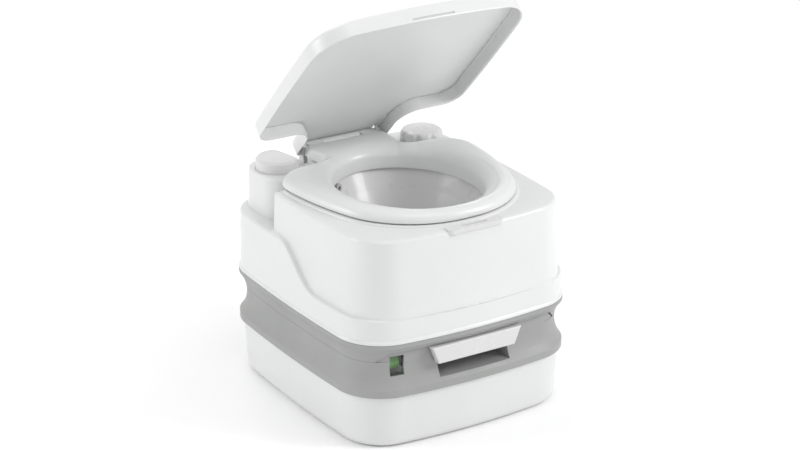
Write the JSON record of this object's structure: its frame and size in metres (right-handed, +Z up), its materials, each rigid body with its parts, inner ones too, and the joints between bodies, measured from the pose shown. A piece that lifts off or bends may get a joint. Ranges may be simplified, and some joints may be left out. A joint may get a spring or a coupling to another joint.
{
  "type": "portable toilet",
  "caption": "Two-part portable flush toilet: white seat, hinged lid and bowl over a grey-banded holding tank with a slide valve.",
  "frame": {"origin": "centre of the footprint's bounding box, on the floor", "axes": "+Z up; front with the valve handle faces -Y; +X is the right side seen from the front"},
  "size_m": [0.342, 0.382, 0.5421],
  "materials": {
    "white_shell": "satin moulded white",
    "grey_shell": "fine-grained mid grey",
    "tank_white": "satin blow-moulded white",
    "white_trim": "satin moulded white",
    "inner_plastic": "plain moulded light grey",
    "dark_plastic": "plain moulded black",
    "seal_rubber": "matt black rubber",
    "soft_rubber": "matt grey rubber",
    "green_plastic": "moulded green",
    "red_plastic": "moulded red",
    "clear_window": "clear polycarbonate",
    "steel": "bright stainless"
  },
  "bodies": {
    "lower_unit": {"waste_tank": "tank_white", "tank_cover": "grey_shell", "tank_gasket": "seal_rubber", "valve_seat": "inner_plastic", "valve_lip_seal": "seal_rubber", "valve_guide": "inner_plastic", "valve_screws": "steel", "level_window": "clear_window", "float_housing": "dark_plastic", "float_shaft_seal": "seal_rubber", "spout_collar": "dark_plastic", "spout_seal": "seal_rubber", "vent_seat": "dark_plastic", "vent_spring": "steel", "latch_guide": "grey_shell"},
    "valve": {"valve_blade": "inner_plastic", "valve_handle": "white_trim", "handle_screws": "steel"},
    "float": {"float_arm": "dark_plastic", "float_ball": "inner_plastic", "level_drum": "green_plastic", "level_red_band": "red_plastic"},
    "spout": {"pour_spout": "grey_shell"},
    "spout_cap": {"spout_cap": "dark_plastic", "spout_cap_seal": "seal_rubber"},
    "vent": {"vent_button": "grey_shell", "vent_stem_seal": "seal_rubber"},
    "latch": {"latch_slider": "white_trim"},
    "upper_unit": {"base_ring": "grey_shell", "ring_screws": "steel", "tank_floor": "inner_plastic", "latch_strike": "grey_shell", "upper_body": "white_shell", "bowl": "white_trim", "bowl_gasket": "seal_rubber", "pump_housing": "white_shell", "pump_ring": "white_shell", "bellows": "soft_rubber", "pump_base": "inner_plastic", "intake_valve": "seal_rubber", "suction_tube": "inner_plastic", "strainer": "dark_plastic", "flush_tube": "soft_rubber", "flush_nozzle": "inner_plastic", "filler_neck": "white_trim", "hinge_base": "white_trim", "hinge_screws": "steel", "hinge_pin": "steel", "lid_catch": "white_trim"},
    "pump": {"pump_head": "white_trim"},
    "filler": {"filler_cap": "white_trim", "filler_seal": "seal_rubber"},
    "seat": {"seat": "white_shell", "seat_buffers": "soft_rubber"},
    "lid": {"lid": "white_shell"}
  },
  "joints": [
    {"name": "valve_slide", "type": "slide", "parent": "lower_unit", "child": "valve", "axis": [0, -1, 0], "range_m": [0, 0.1]},
    {"name": "level_float", "type": "hinge", "parent": "lower_unit", "child": "float", "pos_m": [-0.1, -0.153, 0.113], "axis": [1, 0, 0], "range_deg": [0, 32]},
    {"name": "spout_swing", "type": "hinge", "parent": "lower_unit", "child": "spout", "pos_m": [0.118, 0.14, 0.097], "axis": [0, 0, -1], "range_deg": [0, 90]},
    {"name": "spout_cap_turn", "type": "hinge", "parent": "spout", "child": "spout_cap", "pos_m": [0.033, 0.14, 0.097], "axis": [-1, 0, 0], "range_deg": [0, 450]},
    {"name": "vent_press", "type": "slide", "parent": "lower_unit", "child": "vent", "axis": [0, 0, -1], "range_m": [0, 0.005], "stiffness_N_per_m": 600, "springref_m": -0.002, "deforming": ["vent_spring"]},
    {"name": "latch_slide", "type": "slide", "parent": "lower_unit", "child": "latch", "axis": [1, 0, 0], "range_m": [0, 0.014]},
    {"name": "unit_lift", "type": "slide", "parent": "lower_unit", "child": "upper_unit", "axis": [0, 0, 1], "range_m": [0, 0.3]},
    {"name": "pump_press", "type": "slide", "parent": "upper_unit", "child": "pump", "axis": [0, 0, -1], "range_m": [0, 0.012], "stiffness_N_per_m": 500, "springref_m": -0.004, "deforming": ["bellows"]},
    {"name": "filler_turn", "type": "hinge", "parent": "upper_unit", "child": "filler", "pos_m": [0.112, 0.12, 0.29], "axis": [0, 0, 1], "range_deg": [0, 90]},
    {"name": "seat_hinge", "type": "hinge", "parent": "upper_unit", "child": "seat", "pos_m": [0, 0.15, 0.296], "axis": [-1, 0, 0], "range_deg": [0, 85]},
    {"name": "lid_hinge", "type": "hinge", "parent": "seat", "child": "lid", "pos_m": [0, 0.15, 0.296], "axis": [-1, 0, 0], "range_deg": [-46, 50]}
  ]
}
